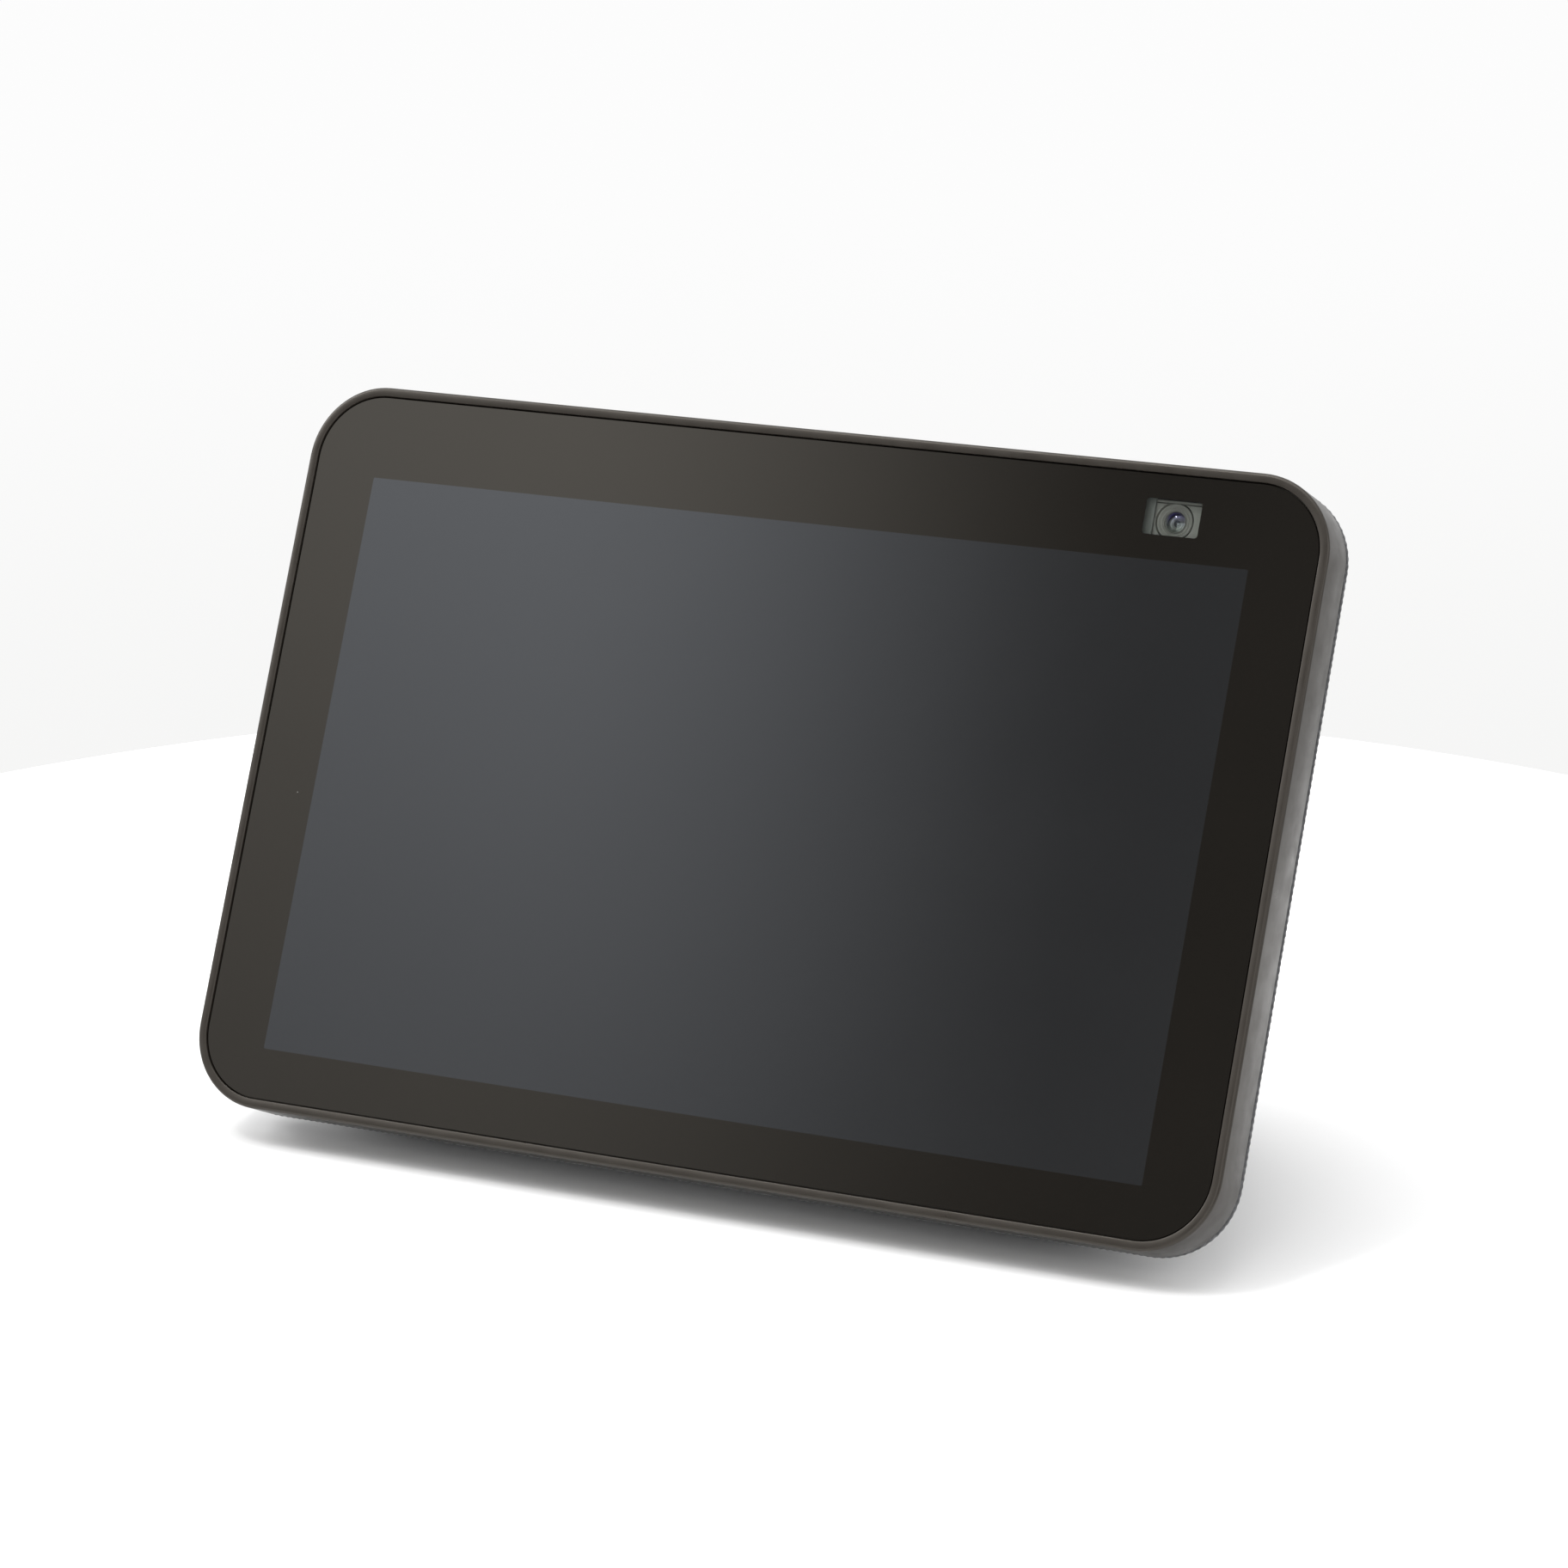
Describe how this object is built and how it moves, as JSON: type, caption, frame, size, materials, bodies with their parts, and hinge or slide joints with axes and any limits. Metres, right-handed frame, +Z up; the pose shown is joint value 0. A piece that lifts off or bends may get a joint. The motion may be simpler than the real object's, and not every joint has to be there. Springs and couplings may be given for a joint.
{
  "type": "smart display",
  "caption": "Countertop smart display: a leaning touch screen slab with a camera shutter and top keys on a fabric covered wedge that holds side speakers and a bass radiator.",
  "frame": {"origin": "on the table under the middle of the whole object's box", "axes": "+Z up, the screen faces -Y and leans back, +X to the right as the user sees the screen"},
  "size_m": [0.2004, 0.099, 0.1311],
  "materials": {
    "frame_plastic": "satin charcoal plastic",
    "cover_glass": "polished black backed cover glass",
    "black_foam": "matte adhesive foam",
    "panel_black": "dark switched off panel",
    "diffuser_white": "white diffuser",
    "pressed_steel": "pressed steel",
    "screw_steel": "blackened steel",
    "flex_circuit": "amber flexible circuit",
    "circuit_board": "green solder mask",
    "chip_black": "moulded chip packages",
    "tinned_steel": "tinned steel",
    "thermal_pad": "soft silicone pad",
    "bare_aluminium": "bare cast aluminium",
    "copper_foil": "thin copper foil",
    "inner_plastic": "black moulded plastic",
    "lens_black": "black lens barrel with coated glass",
    "slider_plastic": "satin plastic",
    "button_plastic": "satin black plastic",
    "rubber": "matte rubber",
    "knit_fabric": "charcoal knit",
    "magnet_metal": "coated magnet steel",
    "cone_paper": "coated paper cone",
    "spider_cloth": "impregnated cloth",
    "socket_plastic": "black socket plastic",
    "wire_jacket": "insulated wires"
  },
  "bodies": {
    "chassis": {"bezel_frame": "frame_plastic", "front_glass": "cover_glass", "glass_adhesive": "black_foam", "lcd_panel": "panel_black", "backlight_unit": "diffuser_white", "display_bracket": "pressed_steel", "bracket_screws": "screw_steel", "frame_screws": "screw_steel", "display_flex": "flex_circuit", "main_board": "circuit_board", "board_chips": "chip_black", "board_shield": "tinned_steel", "thermal_pad": "thermal_pad", "heat_spreader": "bare_aluminium", "board_screws": "screw_steel", "wifi_antennas": "copper_foil", "camera_holder": "inner_plastic", "camera_lens": "lens_black", "camera_board": "circuit_board", "camera_flex": "flex_circuit", "shutter_guide": "inner_plastic", "button_board": "circuit_board", "button_switches": "tinned_steel", "microphones": "copper_foil", "mic_seals": "rubber", "button_flex": "flex_circuit", "rear_housing": "inner_plastic", "fabric_cover": "knit_fabric", "base_plate": "inner_plastic", "rubber_foot": "rubber", "base_screws": "screw_steel", "enclosure_body": "inner_plastic", "enclosure_lid": "inner_plastic", "enclosure_grommets": "rubber", "speaker_frame_left": "pressed_steel", "speaker_frame_right": "pressed_steel", "speaker_magnet_left": "magnet_metal", "speaker_magnet_right": "magnet_metal", "speaker_surround_left": "rubber", "speaker_surround_right": "rubber", "speaker_spider_left": "spider_cloth", "speaker_spider_right": "spider_cloth", "speaker_screws": "screw_steel", "radiator_frame": "inner_plastic", "radiator_surround": "rubber", "io_board": "circuit_board", "power_socket": "socket_plastic", "service_port": "tinned_steel", "port_trim": "inner_plastic", "power_cable": "wire_jacket"},
    "shutter": {"shutter_slider": "slider_plastic"},
    "mic_key": {"mic_button": "button_plastic"},
    "volume_down_key": {"volume_down_button": "button_plastic"},
    "volume_up_key": {"volume_up_button": "button_plastic"},
    "left_cone": {"speaker_cone_left": "cone_paper"},
    "right_cone": {"speaker_cone_right": "cone_paper"},
    "radiator": {"radiator_plate": "magnet_metal"}
  },
  "joints": [
    {"name": "shutter_slide", "type": "slide", "parent": "chassis", "child": "shutter", "axis": [1, 0, 0], "range_m": [0, 0.009]},
    {"name": "mic_press", "type": "slide", "parent": "chassis", "child": "mic_key", "axis": [0, -0.4195, -0.9078], "range_m": [0, 0.0005], "stiffness_N_per_m": 2000, "springref_m": -0.0002},
    {"name": "volume_down_press", "type": "slide", "parent": "chassis", "child": "volume_down_key", "axis": [0, -0.4195, -0.9078], "range_m": [0, 0.0005], "stiffness_N_per_m": 2000, "springref_m": -0.0002},
    {"name": "volume_up_press", "type": "slide", "parent": "chassis", "child": "volume_up_key", "axis": [0, -0.4195, -0.9078], "range_m": [0, 0.0005], "stiffness_N_per_m": 2000, "springref_m": -0.0002},
    {"name": "left_cone_throw", "type": "slide", "parent": "chassis", "child": "left_cone", "axis": [-1, 0, 0], "range_m": [-0.002, 0.002], "stiffness_N_per_m": 1500, "deforming": ["speaker_surround_left", "speaker_spider_left"]},
    {"name": "right_cone_throw", "type": "slide", "parent": "chassis", "child": "right_cone", "axis": [1, 0, 0], "range_m": [-0.002, 0.002], "stiffness_N_per_m": 1500, "deforming": ["speaker_surround_right", "speaker_spider_right"]},
    {"name": "radiator_throw", "type": "slide", "parent": "chassis", "child": "radiator", "axis": [0, 1, 0], "range_m": [-0.003, 0.003], "stiffness_N_per_m": 1200, "deforming": ["radiator_surround"]}
  ]
}
